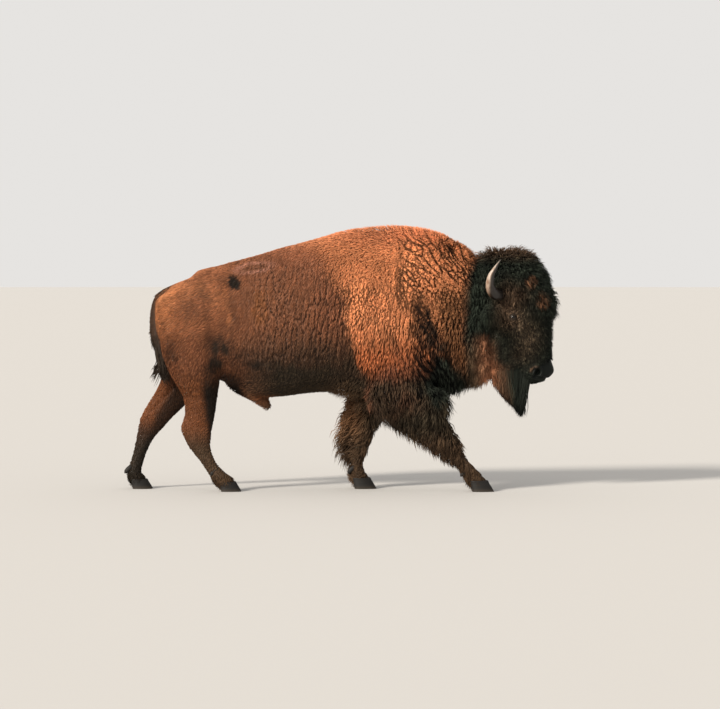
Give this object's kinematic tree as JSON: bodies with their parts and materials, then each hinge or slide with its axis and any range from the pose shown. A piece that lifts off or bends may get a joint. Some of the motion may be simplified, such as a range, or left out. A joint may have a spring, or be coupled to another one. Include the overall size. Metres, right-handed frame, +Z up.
{
  "type": "american bison",
  "caption": "American bison bull in full coat, caught in mid-stride with its head held low, standing life-size on its own hooves.",
  "frame": {"origin": "on the ground, under the middle of the animal's length and width", "axes": "+Z up, +X the way the animal walks and faces, -Y towards its right side"},
  "size_m": [2.9422, 0.7802, 1.79],
  "materials": {
    "cape": "orange-tan woolly coat over the hump and shoulders",
    "flank": "brown coat, short and close on the loin and rump",
    "mane": "black-brown long curly hair",
    "leg": "dark brown short hair",
    "horn": "smooth grey-brown horn with growth rings",
    "hoof": "dark worn hoof horn",
    "eye": "wet dark brown eye"
  },
  "bodies": {
    "root": {"barrel": "flank", "beard": "mane", "cannon_fore_left": "leg", "cannon_fore_right": "leg", "cannon_hind_left": "leg", "cannon_hind_right": "leg", "dewclaw_fore_left_inner": "hoof", "dewclaw_fore_left_outer": "hoof", "dewclaw_fore_right_inner": "hoof", "dewclaw_fore_right_outer": "hoof", "dewclaw_hind_left_inner": "hoof", "dewclaw_hind_left_outer": "hoof", "dewclaw_hind_right_inner": "hoof", "dewclaw_hind_right_outer": "hoof", "ear_left": "mane", "ear_right": "mane", "eye_left": "eye", "eye_right": "eye", "forearm_fore_left": "mane", "forearm_fore_right": "mane", "head": "mane", "hoof_fore_left_inner": "hoof", "hoof_fore_left_outer": "hoof", "hoof_fore_right_inner": "hoof", "hoof_fore_right_outer": "hoof", "hoof_hind_left_inner": "hoof", "hoof_hind_left_outer": "hoof", "hoof_hind_right_inner": "hoof", "hoof_hind_right_outer": "hoof", "horn_left": "horn", "horn_right": "horn", "hump": "cape", "muzzle": "mane", "neck": "mane", "rump": "flank", "scrotum": "flank", "shank_hind_left": "flank", "shank_hind_right": "flank", "sheath": "flank", "shoulder_fore_left": "cape", "shoulder_fore_right": "cape", "tail": "flank", "tail_tuft": "mane", "thigh_hind_left": "flank", "thigh_hind_right": "flank"}
  },
  "joints": []
}
